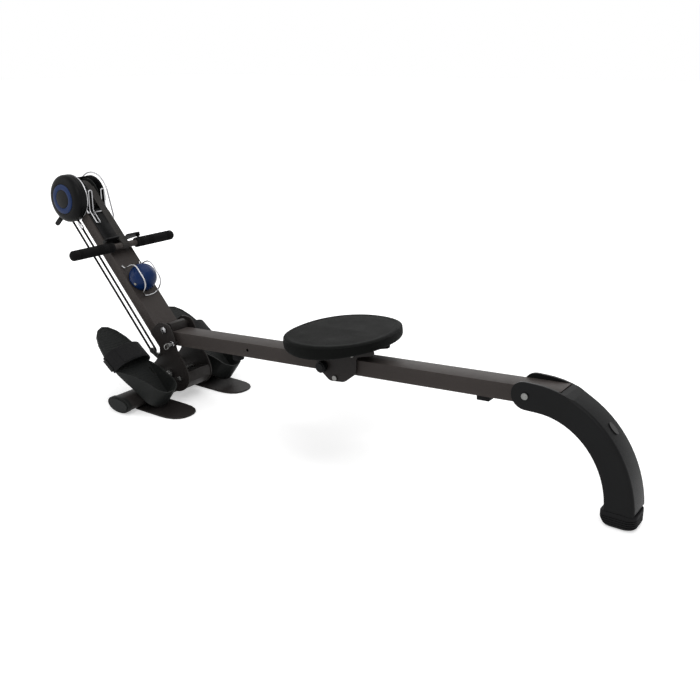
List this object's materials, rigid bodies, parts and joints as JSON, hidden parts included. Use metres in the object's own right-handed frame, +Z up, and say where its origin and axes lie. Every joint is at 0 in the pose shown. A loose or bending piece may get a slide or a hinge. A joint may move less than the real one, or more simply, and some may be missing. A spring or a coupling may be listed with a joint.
{
  "type": "rowing machine",
  "caption": "Folding rowing machine: a leaning mast with a sprung strap reel and pull handle, a rolling seat on a sloping rail, strapped tilting footplates and a curved folding rear leg.",
  "frame": {"origin": "middle of the overall box in X and Y, on the floor it stands on", "axes": "+X along the rail from the mast to the rear leg, +Z up, -Y on the rower's left, where the drum and the resistance cord are"},
  "size_m": [1.8354, 0.436, 0.63],
  "materials": {
    "frame_steel": "satin dark grey-brown paint",
    "plate_steel": "satin near-black paint",
    "chrome": "bright chrome",
    "black_plastic": "matt moulded black",
    "grey_plastic": "matt moulded dark grey",
    "rubber": "matt rubber",
    "webbing": "woven polyester webbing",
    "blue_plastic": "glossy dark blue",
    "vinyl": "grained black vinyl",
    "valve": "pale moulded plug"
  },
  "bodies": {
    "frame": {"mast": "frame_steel", "head_frame": "black_plastic", "drum_cover": "black_plastic", "drum_ring": "blue_plastic", "drum_hub_cap": "black_plastic", "wire_rack": "chrome", "handle_bracket": "black_plastic", "ball_cradle": "chrome", "bungee_cord": "rubber", "cord_ferrule": "chrome", "cord_bracket": "chrome", "side_plate_left": "plate_steel", "side_plate_right": "plate_steel", "stabiliser_tube": "plate_steel", "stabiliser_cap_left": "grey_plastic", "stabiliser_cap_right": "grey_plastic", "floor_plate_left": "plate_steel", "floor_plate_right": "plate_steel", "base_web": "plate_steel", "pivot_bolt": "chrome", "tie_bolt": "chrome", "low_bolt": "chrome", "pin_barrel": "chrome", "pedal_axle": "chrome"},
    "reel": {"strap_reel": "grey_plastic", "strap_coil": "webbing", "cord_spool": "grey_plastic"},
    "cord_wheel": {"cord_pulley": "chrome"},
    "resistance_knob": {"tension_knob": "black_plastic"},
    "fold_lock": {"lock_pin": "chrome"},
    "handle": {"handle_bar": "frame_steel", "grip_left": "rubber", "grip_right": "rubber", "strap_loop": "webbing", "pull_strap": "webbing"},
    "ball": {"ball": "blue_plastic", "ball_valve": "valve"},
    "rail": {"rail": "frame_steel", "rail_hinge": "plate_steel", "rail_stop_front": "rubber", "rail_stop_rear": "rubber", "leg_bolt": "chrome"},
    "seat": {"carriage_bracket": "frame_steel", "seat_board": "black_plastic", "seat_pad": "vinyl"},
    "seat_clamp": {"seat_knob": "black_plastic"},
    "roller_front": {"upper_roller_front": "grey_plastic"},
    "roller_rear": {"upper_roller_rear": "grey_plastic"},
    "roller_lower": {"lower_roller": "grey_plastic"},
    "rear_leg": {"rear_leg": "black_plastic", "rear_foot": "rubber", "leg_badge": "grey_plastic"},
    "pedal_left": {"footplate_left": "grey_plastic", "foot_strap_left": "webbing", "strap_buckle_left": "chrome"},
    "pedal_right": {"footplate_right": "grey_plastic", "foot_strap_right": "webbing", "strap_buckle_right": "chrome"}
  },
  "joints": [
    {"name": "seat_travel", "type": "slide", "parent": "rail", "child": "seat", "axis": [0.9977, 0, 0.068], "range_m": [-0.32, 0.36]},
    {"name": "roller_front_spin", "type": "hinge", "parent": "seat", "child": "roller_front", "pos_m": [0.09178, 0, 0.254], "axis": [0, 1, 0], "continuous": true},
    {"name": "roller_rear_spin", "type": "hinge", "parent": "seat", "child": "roller_rear", "pos_m": [0.19155, 0, 0.26081], "axis": [0, 1, 0], "continuous": true},
    {"name": "roller_lower_spin", "type": "hinge", "parent": "seat", "child": "roller_lower", "pos_m": [0.13842, 0, 0.18742], "axis": [0, 1, 0], "continuous": true},
    {"name": "seat_clamp_turn", "type": "hinge", "parent": "seat", "child": "seat_clamp", "pos_m": [0.10164, -0.05, 0.21228], "axis": [0, -1, 0], "range_deg": [-180, 180]},
    {"name": "rail_fold", "type": "hinge", "parent": "frame", "child": "rail", "pos_m": [-0.4683, 0, 0.2082], "axis": [0, -1, 0], "range_deg": [0, 80]},
    {"name": "leg_fold", "type": "hinge", "parent": "rail", "child": "rear_leg", "pos_m": [0.65475, 0, 0.256], "axis": [0, 1, 0], "range_deg": [0, 112]},
    {"name": "pedal_left_tilt", "type": "hinge", "parent": "frame", "child": "pedal_left", "pos_m": [-0.51097, -0.134, 0.08179], "axis": [0, -1, 0], "range_deg": [0, 35]},
    {"name": "pedal_right_tilt", "type": "hinge", "parent": "frame", "child": "pedal_right", "pos_m": [-0.51097, 0.134, 0.08179], "axis": [0, -1, 0], "range_deg": [0, 35]},
    {"name": "handle_pull", "type": "slide", "parent": "frame", "child": "handle", "axis": [0.9659, 0, 0.2588], "range_m": [0, 0.75], "stiffness_N_per_m": 120, "springref_m": -0.15, "deforming": ["pull_strap"]},
    {"name": "reel_spin", "type": "hinge", "parent": "frame", "child": "reel", "pos_m": [-0.84104, 0, 0.55909], "axis": [0, 1, 0], "continuous": true},
    {"name": "cord_wheel_spin", "type": "hinge", "parent": "frame", "child": "cord_wheel", "pos_m": [-0.51546, -0.053, 0.13948], "axis": [0, 1, 0], "continuous": true},
    {"name": "resistance_turn", "type": "hinge", "parent": "frame", "child": "resistance_knob", "pos_m": [-0.89156, -0.052, 0.49169], "axis": [0.749, 0, 0.6626], "range_deg": [-135, 135]},
    {"name": "lock_pin_pull", "type": "slide", "parent": "frame", "child": "fold_lock", "axis": [0, -1, 0], "range_m": [-0.008, 0.012]},
    {"name": "ball_turn", "type": "hinge", "parent": "frame", "child": "ball", "pos_m": [-0.59821, 0, 0.33865], "axis": [0.749, 0, 0.6626], "continuous": true}
  ],
  "couplings": [
    {"joint": "roller_front_spin", "follows": "seat_travel", "rad_per_m": 62.5},
    {"joint": "roller_rear_spin", "follows": "seat_travel", "rad_per_m": 62.5},
    {"joint": "roller_lower_spin", "follows": "seat_travel", "rad_per_m": -76.923},
    {"joint": "reel_spin", "follows": "handle_pull", "rad_per_m": 20.8},
    {"joint": "cord_wheel_spin", "follows": "handle_pull", "rad_per_m": 41}
  ]
}
